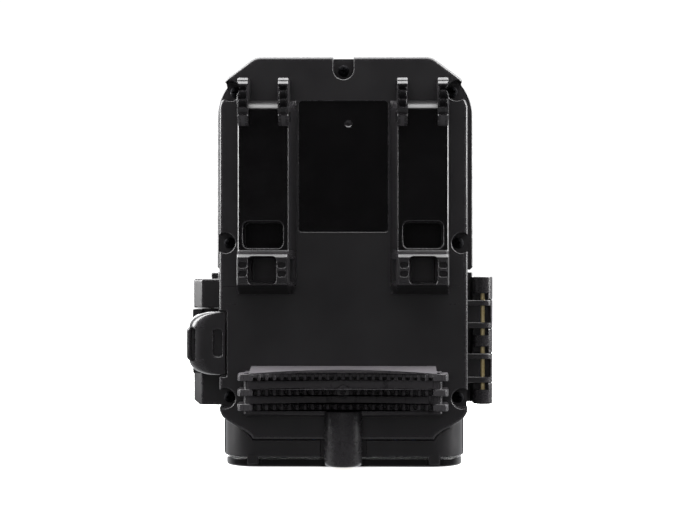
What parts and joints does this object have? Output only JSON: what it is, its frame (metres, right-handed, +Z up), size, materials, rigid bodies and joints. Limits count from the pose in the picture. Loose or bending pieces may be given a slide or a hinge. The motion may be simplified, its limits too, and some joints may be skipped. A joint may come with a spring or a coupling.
{
  "type": "trail camera",
  "caption": "Trail camera in black plastic with strap rails and a toothed tree pad on its back, a side-hinged lower front door and a side latch.",
  "frame": {"origin": "on the flat bottom of the bottom cover, on the centre line between the two strap rails, 26 mm in front of the rear plate face", "axes": "+Z up, +Y out of the back towards the tree, so the lens looks along -Y; +X is the latch side, -X the hinge side"},
  "size_m": [0.1121, 0.0755, 0.1473],
  "materials": {
    "shell": "black satin moulded plastic",
    "soft_black": "soft black seal",
    "inner_plastic": "black matt plastic",
    "brass": "turned brass",
    "dark_steel": "blackened steel",
    "dark_glass": "dark tinted window",
    "lens_glass": "clear glass",
    "circuit_board": "green solder mask",
    "motion_lens": "milky plastic",
    "steel": "bright steel",
    "key_grey": "grey matt plastic",
    "cell_wrap": "plain wrap"
  },
  "bodies": {
    "housing": {"rear_cover": "shell", "tripod_insert": "brass", "rear_screw_1": "dark_steel", "rear_screw_2": "dark_steel", "rear_screw_3": "dark_steel", "rear_screw_4": "dark_steel", "rear_screw_5": "dark_steel", "rear_screw_6": "dark_steel", "rear_screw_7": "dark_steel", "rear_cover_gasket": "soft_black", "main_housing": "shell", "bottom_cover": "shell", "upper_front_housing": "shell", "door_gasket": "soft_black", "hinge_pin": "brass", "ir_window": "dark_glass", "led_board": "circuit_board", "lens_barrel": "inner_plastic", "lens_glass": "lens_glass", "lens_ring": "shell", "image_sensor_board": "circuit_board", "motion_lens": "motion_lens", "motion_sensor": "steel", "motion_sensor_board": "circuit_board", "main_board": "circuit_board", "control_panel": "shell", "display_module": "inner_plastic", "display_window": "dark_glass", "control_board": "circuit_board", "card_socket": "steel", "battery_tray": "inner_plastic", "battery_1": "cell_wrap", "battery_2": "cell_wrap", "battery_3": "cell_wrap", "battery_4": "cell_wrap", "battery_5": "cell_wrap", "battery_6": "cell_wrap", "battery_7": "cell_wrap", "battery_8": "cell_wrap", "battery_contacts_front": "steel", "battery_contacts_rear": "steel"},
    "door": {"front_door": "shell", "latch_pin": "brass"},
    "latch": {"latch_lever": "shell"},
    "mode_switch": {"mode_switch": "key_grey"},
    "memory_card": {"memory_card": "inner_plastic"},
    "key_ok": {"key_ok": "key_grey"},
    "key_up": {"key_up": "key_grey"},
    "key_down": {"key_down": "key_grey"},
    "key_left": {"key_left": "key_grey"},
    "key_right": {"key_right": "key_grey"}
  },
  "joints": [
    {"name": "door_swing", "type": "hinge", "parent": "housing", "child": "door", "pos_m": [-0.0512, 0.002, 0.044], "axis": [0, 0, -1], "range_deg": [0, 135]},
    {"name": "latch_swing", "type": "hinge", "parent": "door", "child": "latch", "pos_m": [0.0508, -0.009, 0.044], "axis": [0, 0, -1], "range_deg": [0, 100]},
    {"name": "key_ok_press", "type": "slide", "parent": "housing", "child": "key_ok", "axis": [0, 1, 0], "range_m": [0, 0.0006], "stiffness_N_per_m": 400},
    {"name": "key_up_press", "type": "slide", "parent": "housing", "child": "key_up", "axis": [0, 1, 0], "range_m": [0, 0.0006], "stiffness_N_per_m": 400},
    {"name": "key_down_press", "type": "slide", "parent": "housing", "child": "key_down", "axis": [0, 1, 0], "range_m": [0, 0.0006], "stiffness_N_per_m": 400},
    {"name": "key_left_press", "type": "slide", "parent": "housing", "child": "key_left", "axis": [0, 1, 0], "range_m": [0, 0.0006], "stiffness_N_per_m": 400},
    {"name": "key_right_press", "type": "slide", "parent": "housing", "child": "key_right", "axis": [0, 1, 0], "range_m": [0, 0.0006], "stiffness_N_per_m": 400},
    {"name": "mode_switch_slide", "type": "slide", "parent": "housing", "child": "mode_switch", "axis": [0, 0, 1], "range_m": [0, 0.007]},
    {"name": "memory_card_slide", "type": "slide", "parent": "housing", "child": "memory_card", "axis": [0, -1, 0], "range_m": [0, 0.005]}
  ]
}
